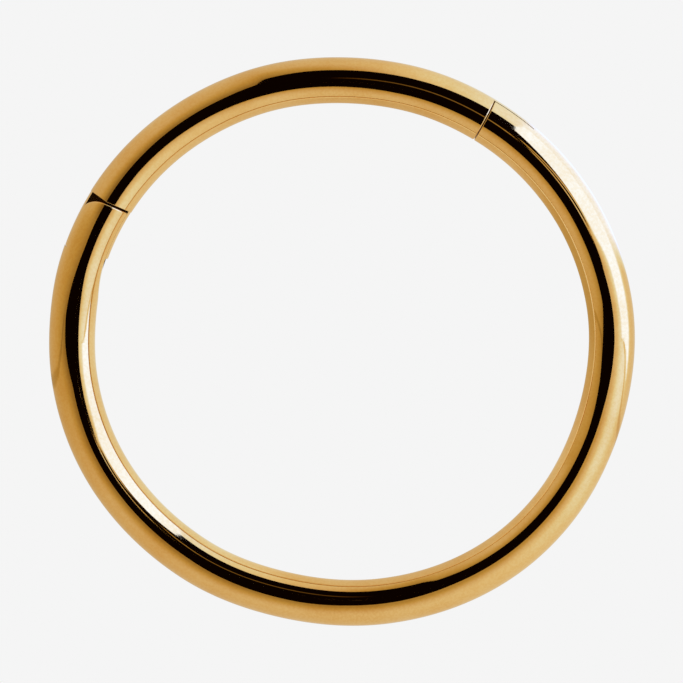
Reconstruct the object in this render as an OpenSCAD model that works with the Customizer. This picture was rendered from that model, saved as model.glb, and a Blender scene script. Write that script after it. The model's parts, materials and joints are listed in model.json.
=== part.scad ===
// Clicker ring: a slightly oval ring of round wire for a piercing. About a quarter of it is a hinged
// segment that swings outward on a pin and clicks shut in the ring body. It lies on its side, with Z
// along its axis and the origin under its middle. Sizes are millimetres and degrees, and directions
// are counted from the X axis, growing anticlockwise as seen from above.

/* [Ring] */
// Diameter of the round wire
wire_d = 1.2; // [1.1:0.05:1.6]
// Inside diameter, half way between the longest and the shortest one
inner_d = 12.7; // [10:0.1:18]
// How much longer the inside is along the oval than across it
oval = 0.46; // [0:0.02:1]
// Direction of the oval's long way
oval_turn = -10.5; // [-30:0.5:10]

/* [Seams] */
// Direction that the wire faces where the hinge seam crosses it
hinge_at = 148.4; // [130:0.2:165]
// Lean of the hinge seam from square across the wire, its outer end toward the body
hinge_lean = 8.2; // [0:0.2:12]
// Direction that the wire faces where the latch seam crosses it
latch_at = 58.4; // [40:0.2:75]
// Lean of the latch seam from square across the wire, its outer end toward the hinged segment
latch_lean = 3.4; // [0:0.2:8]
// Tilt of the latch seam out of upright, which keeps light from showing through it
latch_tilt = 2.5; // [0:0.5:4]
// Gap in the hinge seam, from face to face
hinge_gap = 0.05; // [0.03:0.01:0.08]
// Gap in the latch seam, from face to face
latch_gap = 0.02; // [0.02:0.01:0.06]

/* [Hinge] */
// Diameter of the hinge pin
pin_d = 0.4; // [0.3:0.02:0.44]
// How far the pin sits outward of the seam's middle
pin_out = 0.12; // [0.06:0.01:0.18]
// Radius of the ears' outer corners, about the pin
ear_r = 0.6; // [0.5:0.02:0.66]
// Radius of the tongue's tail beyond the pin, about the pin
tail_r = 0.94; // [0.7:0.02:1.1]
// How far the pin reaches into the upper ear, where its hole is blind
pin_grip = 0.12; // [0.08:0.01:0.16]
// Radial gap between the pin and the tongue's bore
bore_gap = 0.02; // [0.012:0.004:0.04]
// Angle at which the segment's shoulder falls back on the outer side of the hinge seam
relief = 12; // [0:1:20]

/* [Saw run-out] */
// Radius of the saw that opened the hinge slot from inside the ring
saw_r = 4.2; // [3:0.1:5]
// Turn from the hinge seam to where the saw went deepest
saw_past = 7.6; // [4:0.2:10]
// Depth there of the shallow groove that the saw left past the slot
saw_depth = 0.09; // [0.04:0.01:0.12]

/* [Tongues] */
// Thickness of the hinge tongue and of the latch tongue
tongue_t = 0.5; // [0.4:0.02:0.54]
// How far the hinge tongue's inner and outer edges lie under the round of the wire
tongue_trim = 0.025; // [0.01:0.005:0.05]
// Gap on each side of a tongue in its slot
side_gap = 0.03; // [0.02:0.005:0.05]
// Length of the latch tongue beyond the seam
latch_l = 1.25; // [0.8:0.05:1.5]
// Depth of the latch slot's floor below the wire's middle
floor_depth = 0.2; // [0:0.02:0.26]
// How far the round bump stands out from each flat of the latch tongue
click_h = 0.06; // [0.04:0.01:0.08]

/* [Hidden] */
$fn = 120;

// The oval is four arcs: a tighter one at each end and a flatter one along each flank. Each spans a
// quarter turn, and neighbours share their normal where they meet.
wire_r = wire_d / 2;
half_long = (inner_d + oval / 2 + wire_d) / 2;
half_short = (inner_d - oval / 2 + wire_d) / 2;
arc_shift = (half_long - half_short) / (2 - sqrt(2));
end_r = half_long - arc_shift;
flank_r = half_short + arc_shift;

// Fits that follow from the driving sizes
pin_r = pin_d / 2;
ear_gap = 0.005;
end_gap = 0.01;
turn_gap = 0.03;
floor_gap = 0.03;
corner_r = 0.15;
relief_out = pin_out - 0.05;
pin_back = ear_r + hinge_gap / 2;
slot_t = tongue_t + 2 * side_gap;
pin_top = slot_t / 2 + pin_grip;
reach = inner_d + wire_d;

// Point on the wire's middle line where its outward normal has the direction facing
function on_oval(facing) =
    let (n = facing - oval_turn)
    let (at_end = abs(cos(n)) >= abs(sin(n)))
    let (mid = at_end ? [sign(cos(n)) * arc_shift, 0] : [0, -sign(sin(n)) * arc_shift])
    let (p = mid + (at_end ? end_r : flank_r) * [cos(n), sin(n)])
    [p.x * cos(oval_turn) - p.y * sin(oval_turn), p.x * sin(oval_turn) + p.y * cos(oval_turn)];

module quarter_bend(bend_r, start, trim) {
    rotate([0, 0, start])
        rotate_extrude(angle = 90)
            translate([bend_r, 0])
                circle(r = wire_r - trim);
}

// The whole closed ring of wire, with no seams; trim makes it thinner all round
module wire(trim = 0) {
    translate([0, 0, wire_r])
        rotate([0, 0, oval_turn])
            for (half = [0, 1])
                rotate([0, 0, 180 * half]) {
                    translate([arc_shift, 0, 0]) quarter_bend(end_r, -45, trim);
                    translate([0, -arc_shift, 0]) quarter_bend(flank_r, 45, trim);
                }
}

// Puts its children at a seam: X outward along it, Y on round the ring, Z up from the wire's middle
module at_seam(facing, lean) {
    p = on_oval(facing);
    translate([p.x, p.y, wire_r])
        rotate([0, 0, facing + lean])
            children();
}

module at_hinge() {
    at_seam(hinge_at, hinge_lean) children();
}

module at_latch() {
    at_seam(latch_at, latch_lean) children();
}

// A flat slab of the drawn plan, as thick as given and level with the wire's middle
module slab(thickness) {
    linear_extrude(height = thickness, center = true) children();
}

// The space between the seams' faces on the segment's side; side is 1 at the segment's own faces and -1
// at the body's
module between_seams(side) {
    box = [2 * reach, 2 * reach, 4 * wire_d];
    intersection() {
        at_latch()
            rotate([latch_tilt, 0, 0]) translate([-reach, side * latch_gap / 2, -2 * wire_d]) cube(box);
        at_hinge()
            translate([-reach, -2 * reach - side * hinge_gap / 2, -2 * wire_d]) cube(box);
    }
}

// Plan of the hinge tongue: straight up to the pin, then round about it. grow makes it the slot's plan
module hinge_tongue_plan(grow) {
    translate([-wire_d, -wire_r]) square([2 * wire_d, wire_r + pin_back]);
    translate([pin_out, pin_back]) circle(r = tail_r + grow);
}

// The groove of the saw on the ring's inner side, which runs out past the hinge slot in a long arc
module saw_runout() {
    at_seam(hinge_at + saw_past, 0)
        translate([saw_depth - wire_r - saw_r, 0, 0])
            cylinder(r = saw_r, h = slot_t, center = true);
}

// Plan of the latch tongue, open on its outer side; grow turns it into the plan of its slot
module latch_tongue_plan(grow) {
    inner = -floor_depth - grow;
    tip = -latch_l - grow;
    round_r = corner_r + grow;
    translate([inner + round_r, tip]) square([wire_d, latch_l + wire_r]);
    translate([inner, tip + round_r]) square([wire_d, latch_l + wire_r - round_r]);
    translate([inner + round_r, tip + round_r]) circle(r = round_r);
}

// The round bump through the latch tongue, which stands out on both flats; grow makes its dimples
module click_bump(grow) {
    translate([(wire_r - floor_depth) / 2, -latch_l / 2, 0]) sphere(r = tongue_t / 2 + click_h + grow);
}

// What the segment's shoulder gives up outside the pin, so that the seam opens to a notch there
module shoulder_relief() {
    at_hinge()
        slab(2 * wire_d)
            polygon([
                [relief_out, -hinge_gap / 2],
                [relief_out + wire_d, wire_r],
                [relief_out + wire_d, -hinge_gap / 2 - wire_d * tan(relief)]
            ]);
}

// What the ears' outer corners give up, which leaves them round about the pin
module ear_corners() {
    at_hinge()
        slab(2 * wire_d)
            difference() {
                translate([pin_out, -wire_r]) square([wire_d, wire_r + pin_back]);
                translate([pin_out, pin_back]) circle(r = ear_r);
            }
}

// A round bar on the hinge axis, from below the wire up to the height top
module on_pin_axis(r, top) {
    at_hinge() translate([pin_out, pin_back, -wire_d]) cylinder(r = r, h = top + wire_d);
}

module ring_body() {
    color([0.80, 0.62, 0.36])
        difference() {
            wire();
            between_seams(-1);
            ear_corners();
            at_hinge() slab(slot_t) hinge_tongue_plan(turn_gap);
            saw_runout();
            at_latch() slab(slot_t) latch_tongue_plan(floor_gap);
            at_latch() click_bump(side_gap);
            on_pin_axis(pin_r + ear_gap, pin_top + end_gap);
        }
}

module hinged_segment() {
    color([0.84, 0.67, 0.42])
        difference() {
            union() {
                intersection() {
                    wire();
                    union() {
                        difference() {
                            between_seams(1);
                            shoulder_relief();
                        }
                        at_latch() slab(tongue_t) latch_tongue_plan(0);
                        at_latch() click_bump(0);
                    }
                }
                intersection() {
                    wire(tongue_trim);
                    at_hinge() slab(tongue_t) hinge_tongue_plan(0);
                }
            }
            on_pin_axis(pin_r + bore_gap, wire_d);
        }
}

// The pin fills its hole up to the blind end, and its lower end follows the round of the wire
module hinge_pin() {
    color([0.72, 0.54, 0.30])
        intersection() {
            wire();
            on_pin_axis(pin_r, pin_top);
        }
}

ring_body();
hinged_segment();
hinge_pin();
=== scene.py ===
import json
import math

import bpy
import numpy as np
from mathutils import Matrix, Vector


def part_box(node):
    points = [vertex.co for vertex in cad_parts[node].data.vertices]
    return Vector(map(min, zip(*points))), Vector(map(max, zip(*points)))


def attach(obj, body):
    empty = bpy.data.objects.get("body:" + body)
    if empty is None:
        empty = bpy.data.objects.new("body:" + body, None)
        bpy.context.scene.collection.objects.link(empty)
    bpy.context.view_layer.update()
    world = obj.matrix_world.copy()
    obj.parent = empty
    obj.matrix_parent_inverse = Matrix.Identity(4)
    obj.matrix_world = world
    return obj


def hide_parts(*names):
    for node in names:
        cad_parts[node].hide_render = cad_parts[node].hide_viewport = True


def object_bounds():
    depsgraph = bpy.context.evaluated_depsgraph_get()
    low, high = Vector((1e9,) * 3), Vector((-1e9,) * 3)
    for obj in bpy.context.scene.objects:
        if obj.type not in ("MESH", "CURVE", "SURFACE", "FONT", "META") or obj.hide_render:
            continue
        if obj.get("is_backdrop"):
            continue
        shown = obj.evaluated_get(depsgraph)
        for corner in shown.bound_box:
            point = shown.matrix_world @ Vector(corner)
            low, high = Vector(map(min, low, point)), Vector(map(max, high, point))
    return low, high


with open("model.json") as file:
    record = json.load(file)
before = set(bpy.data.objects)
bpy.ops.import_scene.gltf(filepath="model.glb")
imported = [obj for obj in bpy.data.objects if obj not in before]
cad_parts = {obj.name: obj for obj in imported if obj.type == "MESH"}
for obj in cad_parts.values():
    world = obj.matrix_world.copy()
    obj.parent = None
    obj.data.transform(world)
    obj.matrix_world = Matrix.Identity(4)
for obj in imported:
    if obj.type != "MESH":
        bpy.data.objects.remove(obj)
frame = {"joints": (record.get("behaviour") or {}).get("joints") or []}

bl_info = {
    "name": "Clicker Ring",
    "version": (1, 0, 0),
    "blender": (4, 5, 0),
    "location": "3D Viewport > Sidebar > Clicker Ring",
    "description": "A polished gold ring with a hinged segment, on a pale studio stage",
    "category": "Object",
}

# Lengths are metres, as in the frame, and MM turns millimetres into them
MM = 0.001
UP = np.array([0.0, 0.0, 1.0])
# The wire lies flat, so that the body is as high as the wire is thick
WIRE_D = round(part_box("ring_body")[1][2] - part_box("ring_body")[0][2], 7)

# How finely the skins are divided, and over what turn their rows ease into an end's own curve
STATION_STEP = math.radians(1.0)
EASE = math.radians(10.0)
GROOVE_EASE = math.radians(2.0)
TOP_COLUMNS = 48
SIDE_COLUMNS = 20
ROUND_ROWS = 6
CROSS_ROWS = 14
FLAT_ROWS = 8
HOLE_ROWS = 4
HOLE_END_ROWS = 3
PIN_SIDES = 96
DOME_RINGS = 32
DOME_SIDES = 64
# Rounds in which the inner skin's start settles, where the groove meets a curve
SETTLING_ROUNDS = 12
# Points of a skin that agree to this become one
MERGE = 1e-8
# How far the pin may lie from the model's joint
JOINT_SLACK = 0.002 * MM

# Where the hand-bent wire strays from the oval. Columns: direction and half width in degrees, and the
# way out in millimetres
STRAYS = (
    (40, 32, 0.025),
    (88, 22, -0.035),
    (176, 13, -0.020),
    (210, 26, 0.020),
    (257, 22, -0.047),
    (303, 34, 0.065),
    (345, 24, -0.050),
)

# How many features of each kind the gold's finish has in a metre
PATCHES = 700.0
WAVES = 450.0
FINE_MARKS = 14000.0
DUST_CELLS = 1100.0
SAW_MARKS = 6000.0
# Where soft steps over noise start and end, for the haze, the mottles and the sawn faces' streaks
HAZE = (0.35, 0.75)
MOTTLES = (0.38, 0.62)
STREAKS = (0.35, 0.65)
# How high the polishing marks and the saw's marks stand, in metres, and how strongly they show
POLISH_RISE = 1e-6
SAW_RISE = 2e-6
BUMP_STRENGTH = 0.5
# How many times as high as the finest marks the waves may stand
WAVE_RISE = 12.0
# What the haze and the fine marks each add to the roughness at most
HAZE_ROUGHNESS = 0.02
# A speck of dust ends between these distances from its cell's middle, in cells
SPECK = (0.02, 0.05)
# Only a cell whose chance is past these has a speck
SPECK_CHANCE = (0.90, 0.91)
SPECK_TINT = (0.5, 0.45, 0.35)
SPECK_ROUGHNESS = 0.6
# Sawn gold: its roughness and what the marks add, how many times as long as high the marks are, and
# how dark the streaks
SAWN_ROUGHNESS = 0.17
MARK_ROUGHNESS = 0.12
MARK_FLATNESS = 9.0
STREAK_TINT = 0.75

# The light tent by direction. Each table's columns are a direction in degrees and a value
# Reach of the dark hood round the camera, in millimetres
HOOD = (
    (0, 13), (10, 12), (20, 9), (28, 3), (45, 11), (52, 20), (52.5, 51), (60, 49), (75, 42), (95, 42),
    (105, 39), (107.5, 24), (115, 20.5), (130, 19), (145, 17.5), (160, 14), (165, 17), (175, 28),
    (180, 26), (190, 14), (205, 16), (235, 13.5), (250, 16.5), (260, 17), (270, 13), (282, 12),
    (295, 8), (316, 6), (330, 9), (345, 9), (355, 12), (360, 13),
)
# Reach of the dark that the camera itself throws on the tent, in degrees from overhead
CAMERA_DARK = (
    (0, 9), (14, 9), (18, 14), (26, 14), (31, 9.5), (50, 12), (56, 9), (240, 9), (280, 6), (360, 6),
)
# Brightness of the tent's wall
WALL = (
    (0, 0.86), (50, 0.90), (66, 0.80), (80, 0.74), (95, 0.64), (104, 0.55), (127, 0.64), (151, 0.59),
    (154, 0.52), (187, 0.54), (210, 0.62), (250, 0.66), (310, 0.75), (335, 0.82), (360, 0.86),
)
# Share of the wall's brightness that is lost just past the hood
SHADE = (
    (0, 0.2), (20, 0.3), (50, 0.05), (75, 0.05), (95, 0.35), (110, 0.5), (151, 0.6), (154, 0.3),
    (185, 0.5), (240, 0.5), (340, 0.35), (360, 0.2),
)
# Upper edge of the lamp's window, in degrees from overhead
LAMP_EDGE = (
    (0, 54), (8, 50), (16, 48), (20, 42), (24, 31), (32, 28), (40, 31), (46, 35), (52, 42), (60, 60),
    (344, 180), (351, 92), (358, 76), (359.5, 56), (360, 54),
)
# Brightness of the floor as the gold mirrors it, a painted reflection on glowing stage parts that only the
# gold sees: outside the ring, and inside it
FLOOR = (
    (0, 0.70), (16, 0.73), (24, 0.96), (51, 0.96), (53, 0.84), (70, 0.78), (90, 0.68), (110, 0.63),
    (130, 0.66), (150, 0.61), (190, 0.57), (250, 0.64), (330, 0.76), (348, 0.72), (360, 0.70),
)
INSIDE = (
    (0, 0.52), (5, 0.49), (25, 0.50), (45, 0.65), (80, 0.60), (120, 0.70), (180, 0.76), (240, 0.78),
    (270, 0.68), (300, 0.63), (330, 0.68), (360, 0.52),
)
# Light that comes in through the chink in the hood
CHINK = ((0, 0.0), (22, 0.0), (27, 0.80), (48, 0.50), (60, 0.22), (85, 0.10), (92, 0.0), (360, 0.0))
# Two folds in the tent's wall. Columns: angle from overhead and direction, in degrees
FOLDS = (
    ((42, 173), (55, 181), (80, 186), (110, 188), (150, 187)),
    ((56, 361), (70, 357), (85, 350), (100, 344), (130, 339)),
)
# How far below the hood the wall is still shaded, in degrees
WALL_RISE = 45.0
# How far the side at which the lamp ends and the floor's edges lean, in degrees for each degree down
LAMP_LEAN = 0.05
FLOOR_LEAN = 0.1
# Each pair here is where a soft step starts and ends, in degrees: by direction for the sides of the lamp,
# the blur of its upper edge, the camera's dark on its side, the chink and the floor's painted shadow edge
LAMP_STARTS = (343, 344)
LAMP_ENDS = (55.2, 56.2)
LAMP_BLUR = (22, 36)
DARK_STARTS = (26, 44)
INNER_DARK_STARTS = (24, 29)
DARK_ENDS = (56, 58)
CHINK_STARTS = (22, 24)
CHINK_ENDS = (50, 53)
HOOD_CHINK_STARTS = (49, 52)
SHADOW_EDGE_STARTS = (46, 49)
SHADOW_EDGE_ENDS = (100, 112)
# By angle from overhead, for the wall and the lamp where they pass into the floor, the tops of the folds
# and the inner dark
WALL_TO_FLOOR = (70, 110)
LAMP_TO_FLOOR = (86, 96)
FOLD_TOP = (42, 50)
INNER_DARK = (22, 24)
# By distance from their middle, for the two sides of a fold and of the chink's streaks, in degrees, and
# for its streak on the hood in millimetres
FOLD_SIDE = (0.5, 2.0)
STREAK_SIDE = (1.3, 3.0)
HOOD_STREAK_SIDE = (0.6, 1.6)
# The chink's near streak: its angles from overhead, and the directions between which it moves. The far
# one: its angle at direction 0, and how far it comes in for each degree of direction
NEAR_STREAK = (12, 17)
NEAR_STREAK_MOVES = (34, 56)
FAR_STREAK = 27.5
FAR_STREAK_LEAN = 0.12
# The lamp's upper edge is blurred this far above and below it where the lamp starts, and by this share
# of that where it ends
BLUR_ABOVE = 7
BLUR_BELOW = 3
BLUR_AT_END = 0.15
# By how far a ray dips below the level: the two sides of the painted shadow edge on the floor, and where
# it grows pale
SHADOW_EDGE_TOP = (46, 49)
SHADOW_EDGE_FOOT = (50, 53)
PALE_DIP = (-10, 60)
# How much darker a fold and the floor's painted shadow edge are
FOLD_DEPTH = 0.12
SHADOW_EDGE_DEPTH = 0.15
# The most plain grey in the floor's glow, inside the ring and outside it, and the levels of brightness
# between which a glow passes to the lamp's own tint
PALE_INSIDE = 0.12
PALE_OUTSIDE = 0.6
LAMP_LEVEL = (0.7, 0.85)
# The hood's hole, in millimetres: its reach at the start and the end of the lamp's side, which is given
# in degrees, and elsewhere, half of the small square over it, and the middle of the chink on the hood
HOLE_SIDE = (24, 52)
HOLE_AT_LAMP = (3.0, 4.4)
HOLE_ELSEWHERE = 0.3
SQUARE_HALF = 0.7
HOOD_CHINK_OUT = 11.4
# Half of the floor's side as a share of the tent's radius, which leaves its corners inside
FLOOR_REACH = 0.7
# Width of the camera's sensor, in its own millimetres
SENSOR = 36.0
# Tint of each brightness: dim parts are lit by the gold itself, and the lamp is cool. Columns:
# brightness, and red, green and blue
TINTS = (
    (0.0, (0.003, 0.001, 0.0)),
    (0.05, (0.05, 0.024, 0.004)),
    (0.21, (0.21, 0.137, 0.042)),
    (0.35, (0.35, 0.24, 0.075)),
    (0.50, (0.50, 0.36, 0.125)),
    (0.56, (0.56, 0.425, 0.20)),
    (0.63, (0.63, 0.52, 0.34)),
    (0.74, (0.74, 0.70, 0.55)),
    (0.78, (0.78, 0.86, 0.85)),
    (0.82, (0.82, 0.98, 1.2)),
    (0.91, (0.91, 1.17, 2.0)),
    (1.0, (1.0, 1.4, 2.75)),
)


def length(name, description, millimetres):
    """A length in metres, given in millimetres."""
    return bpy.props.FloatProperty(name=name, description=description, default=millimetres * MM,
                                   precision=6, subtype="DISTANCE", unit="LENGTH")


def angle(name, description, degrees):
    """An angle in radians, given in degrees."""
    return bpy.props.FloatProperty(name=name, description=description,
                                   default=math.radians(degrees), subtype="ANGLE")


def share(name, description, default):
    """A share between nothing and all."""
    return bpy.props.FloatProperty(name=name, description=description, default=default,
                                   min=0.0, max=1.0, subtype="FACTOR")


def number(name, description, default):
    """A plain number that isn't negative."""
    return bpy.props.FloatProperty(name=name, description=description, default=default, min=0.0)


def colour(name, description, default):
    """A colour in linear light."""
    return bpy.props.FloatVectorProperty(name=name, description=description, default=default,
                                         size=3, min=0.0, max=1.0, subtype="COLOR")


class RingSizes(bpy.types.PropertyGroup):
    """The ring's sizes, which are those of the CAD model, but for a smaller tongue trim."""

    wire_d: length("Wire", "Diameter of the round wire", WIRE_D / MM)
    inner_d: length("Inside", "Inside diameter, half way between the longest and the shortest", 12.7)
    oval: length("Oval", "How much longer the inside is along the oval than across it", 0.46)
    oval_turn: angle("Oval turn", "Direction of the oval's long way", -10.5)
    hinge_at: angle("Hinge", "Direction that the wire faces at the hinge seam", 148.4)
    hinge_lean: angle("Hinge lean", "Lean of the hinge seam from square across the wire", 8.2)
    latch_at: angle("Latch", "Direction that the wire faces at the latch seam", 58.4)
    latch_lean: angle("Latch lean", "Lean of the latch seam from square across the wire", 3.4)
    latch_tilt: angle("Latch tilt", "Tilt of the latch seam out of upright", 2.5)
    hinge_gap: length("Hinge gap", "Gap in the hinge seam, from face to face", 0.05)
    latch_gap: length("Latch gap", "Gap in the latch seam, from face to face", 0.02)
    pin_d: length("Pin", "Diameter of the hinge pin", 0.4)
    pin_out: length("Pin outward", "How far the pin sits outward of the seam's middle", 0.12)
    ear_r: length("Ears", "Radius of the ears' outer corners, about the pin", 0.6)
    tail_r: length("Tail", "Radius of the tongue's tail, about the pin", 0.94)
    pin_grip: length("Pin grip", "How far the pin reaches into the upper ear", 0.12)
    bore_gap: length("Bore gap", "Radial gap between the pin and the tongue's bore", 0.02)
    relief: angle("Relief", "Angle at which the segment's shoulder falls back outside", 12.0)
    saw_r: length("Saw", "Radius of the saw that opened the hinge slot", 4.2)
    saw_past: angle("Saw past", "Turn from the hinge seam to where the saw went deepest", 7.6)
    saw_depth: length("Saw depth", "Depth there of the groove that the saw left", 0.09)
    tongue_t: length("Tongues", "Thickness of both tongues", 0.5)
    tongue_trim: length("Tongue trim", "How far the hinge tongue lies under the wire's round", 0.012)
    side_gap: length("Side gap", "Gap on each side of a tongue in its slot", 0.03)
    latch_l: length("Latch tongue", "Length of the latch tongue beyond the seam", 1.25)
    floor_depth: length("Slot floor", "Depth of the latch slot's floor below the wire's middle", 0.2)
    click_h: length("Click bump", "How far the bump stands out from the latch tongue", 0.06)


class RingFits(bpy.types.PropertyGroup):
    """The fits, with a smaller turn gap than the CAD model's, and how round the edges were polished."""

    ear_gap: length("Ear gap", "Radial gap between the pin and its ears", 0.005)
    end_gap: length("End gap", "Gap between the pin's end and its blind hole's", 0.01)
    turn_gap: length("Turn gap", "Gap between the tongue's tail and the slot", 0.015)
    floor_gap: length("Floor gap", "Gap under and behind the latch tongue", 0.03)
    corner_r: length("Corner", "Radius of the latch tongue's inner corner", 0.15)
    relief_in: length("Relief start", "How far inward of the pin the shoulder's relief starts", 0.05)
    ear_edge: length("Ear edge", "Rounding of the ears' edge at the hinge seam", 0.05)
    shoulder_edge: length("Shoulder edge", "Rounding of the segment's edge at the hinge seam", 0.01)
    lip_edge: length("Lip edge", "Rounding of the body's edge at the latch seam", 0.02)
    gate_edge: length("Gate edge", "Rounding of the segment's edge at the latch seam", 0.035)


class GoldFinish(bpy.types.PropertyGroup):
    """The look of the polished gold."""

    bright: colour("Bright gold", "Colour where the polish is best", (1.0, 0.70, 0.33))
    deep: colour("Deep gold", "Colour where the polish is dull", (0.93, 0.58, 0.22))
    pin: colour("Pin gold", "Colour of the hinge pin", (0.90, 0.58, 0.27))
    sawn: colour("Sawn gold", "Colour of the seams' faces and the slots", (0.58, 0.32, 0.10))
    roughness: share("Roughness", "Roughness of the polish", 0.02)
    waviness: share("Waviness", "How strongly the hand polish shows as gentle waves", 0.4)
    grain: share("Grain", "How strongly the finest polishing marks show", 0.4)
    mottling: share("Mottling", "How finely the colour is mottled, and not in patches", 0.4)
    dust: share("Dust", "How plainly a few specks of dust show", 0.7)


class StageLook(bpy.types.PropertyGroup):
    """The camera, the floor and the light tent."""

    view_width: length("View width", "Width of the view at the ring's mid height", 17.821)
    lens: bpy.props.FloatProperty(name="Lens", description="Focal length of the long lens",
                                  default=400.0, min=50.0, subtype="DISTANCE_CAMERA")
    view_drop: length("View drop", "How far below the ring's middle the camera looks", 0.0105)
    view_left: length("View left", "How far left of the ring's middle the camera looks", 0.013)
    floor_light: share("Floor", "Brightness of the pale floor in linear light", 0.913)
    tent_r: length("Tent", "Radius of the light tent", 90.0)
    hood_height: length("Hood", "Height of the dark hood round the camera", 30.0)
    tent_light: number("Tent light", "Brightness of the light tent", 1.0)


class Wire:
    """The round wire, bent into an oval of four arcs that each span a quarter turn. A place on it has
    the direction that the wire faces there, its distance across, outward of the wire's middle line,
    and its height above that line."""

    def __init__(self, sizes):
        half_long = (sizes.inner_d + sizes.oval / 2 + sizes.wire_d) / 2
        half_short = (sizes.inner_d - sizes.oval / 2 + sizes.wire_d) / 2
        self.radius = sizes.wire_d / 2
        self.turn = sizes.oval_turn
        self.shift = (half_long - half_short) / (2 - math.sqrt(2))
        self.end_bend = half_long - self.shift
        self.flank_bend = half_short + self.shift

    def arc(self, facing):
        """Middle and bend radius of the arc that faces that way. It is an end arc where the direction,
        counted from the oval's long way, is nearer that way than across it, and else a flank arc."""
        off = np.asarray(facing) - self.turn
        along, aside = np.cos(off), np.sin(off)
        at_end = np.abs(along) >= np.abs(aside)
        x = np.where(at_end, np.sign(along) * self.shift, 0.0)
        y = np.where(at_end, 0.0, -np.sign(aside) * self.shift)
        cosine, sine = math.cos(self.turn), math.sin(self.turn)
        middle = np.stack([x * cosine - y * sine, x * sine + y * cosine], axis=-1)
        return middle, np.where(at_end, self.end_bend, self.flank_bend)

    def plan(self, facing, across):
        """Place seen from above: the arc's middle plus bend and across along the facing direction."""
        facing, across = np.broadcast_arrays(facing, across)
        middle, bend = self.arc(facing)
        return middle + (bend + across)[..., None] * np.stack([np.cos(facing), np.sin(facing)], -1)

    def point(self, facing, across, height):
        """Place in space: the plan place, lifted by the wire's radius and the height."""
        return lifted(self.plan(facing, across), self.radius + height)

    def skin(self, facing, round_angle, radius=None):
        """Points and normals at an angle round the wire, which starts outward and grows upward. Across
        is the radius times its cosine, and the height is the radius times its sine."""
        radius = self.radius if radius is None else radius
        points = self.point(facing, radius * np.cos(round_angle), radius * np.sin(round_angle))
        return points, outward(facing, round_angle)


def strayed(points, normals):
    """The points moved out by the sum of the strays, each of which is its way out times the squared
    cosine of a quarter turn's share, and the normals turned back by the slope of that sum."""
    turn = np.arctan2(points[:, 1], points[:, 0])
    radius = np.hypot(points[:, 0], points[:, 1])
    way, slope = np.zeros_like(turn), np.zeros_like(turn)
    for at, half_width, out in STRAYS:
        off = np.angle(np.exp(1j * (turn - math.radians(at)))) / math.radians(half_width)
        quarter = math.pi / 2 * np.clip(off, -1.0, 1.0)
        way += out * MM * np.cos(quarter) ** 2
        slope -= out * MM * math.pi / 2 / math.radians(half_width) * np.sin(2 * quarter)
    out = np.stack([np.cos(turn), np.sin(turn), 0 * turn], -1)
    on = np.stack([-np.sin(turn), np.cos(turn), 0 * turn], -1)
    lean = (normals * out).sum(-1) * slope / radius
    return points + way[:, None] * out, normals - lean[:, None] * on


def outward(facing, round_angle):
    """Normal of the round skin: the cosine of its angle along the facing direction, its sine up."""
    facing, round_angle = np.broadcast_arrays(facing, round_angle)
    out = np.cos(round_angle)
    return np.stack([out * np.cos(facing), out * np.sin(facing), np.sin(round_angle)], axis=-1)


def lifted(plan, height):
    """Plan points, or plan normals, with a third coordinate."""
    shape = np.broadcast_shapes(plan.shape[:-1], np.shape(height))
    height = np.broadcast_to(height, shape)[..., None]
    return np.concatenate([np.broadcast_to(plan, (*shape, 2)), height], axis=-1)


def unit(vectors):
    """Vectors divided by their lengths."""
    return vectors / np.linalg.norm(vectors, axis=-1, keepdims=True)


def blend(start, stop, count):
    """Rows that lead in even steps from one row of values to another."""
    shares = np.linspace(0.0, 1.0, count + 1).reshape(-1, *[1] * np.ndim(start))
    return start + (stop - start) * shares


class Seam:
    """A seam's own axes seen from above, as in the CAD source: x outward along the seam and y on round
    the ring, from the wire's middle line. All that lies near a seam is on one arc of the oval."""

    def __init__(self, wire, facing, lean):
        middle, bend = wire.arc(facing)
        self.middle = middle
        self.bend = float(bend)
        self.turn = facing + lean
        self.origin = wire.plan(facing, 0.0)
        self.out = np.array([math.cos(self.turn), math.sin(self.turn)])
        self.on = np.array([-math.sin(self.turn), math.cos(self.turn)])

    def plan(self, x, y):
        """Plan place of the seam's x and y."""
        return self.origin + np.multiply.outer(x, self.out) + np.multiply.outer(y, self.on)

    def along(self, plan):
        """The seam's x of a plan place."""
        return (plan - self.origin) @ self.out

    def across(self, plan):
        """Distance outward of the middle line: the distance from the arc's middle, less the bend."""
        return np.linalg.norm(plan - self.middle, axis=-1) - self.bend

    def facing(self, plan):
        """Direction in which a plan place lies from the arc's middle."""
        offset = plan - self.middle
        return np.arctan2(offset[..., 1], offset[..., 0])

    def on_line(self, x, y, across, inset=0.0, back=0.0):
        """Direction in which a line across the wire lies at the given distance across. The line goes
        through x and y, is turned back by an angle and moved on by the inset. Its direction is its own
        turn plus the arcsine of its offset from the arc's middle over the distance from there."""
        turn = self.turn - back
        on = np.array([-math.sin(turn), math.cos(turn)])
        offset = (self.plan(x, y) - self.middle) @ on + inset
        return turn + np.arcsin(offset / (self.bend + across))

    def on_circle(self, centre, radius, across, side):
        """Direction in which a circle lies at the given distance across, by the cosine rule in the
        triangle of the arc's middle, the circle's centre and the place sought."""
        offset = centre - self.middle
        far = np.linalg.norm(offset)
        reach = self.bend + across
        cosine = (reach ** 2 + far ** 2 - radius ** 2) / (2 * reach * far)
        return math.atan2(offset[1], offset[0]) + side * np.arccos(np.clip(cosine, -1.0, 1.0))


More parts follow.
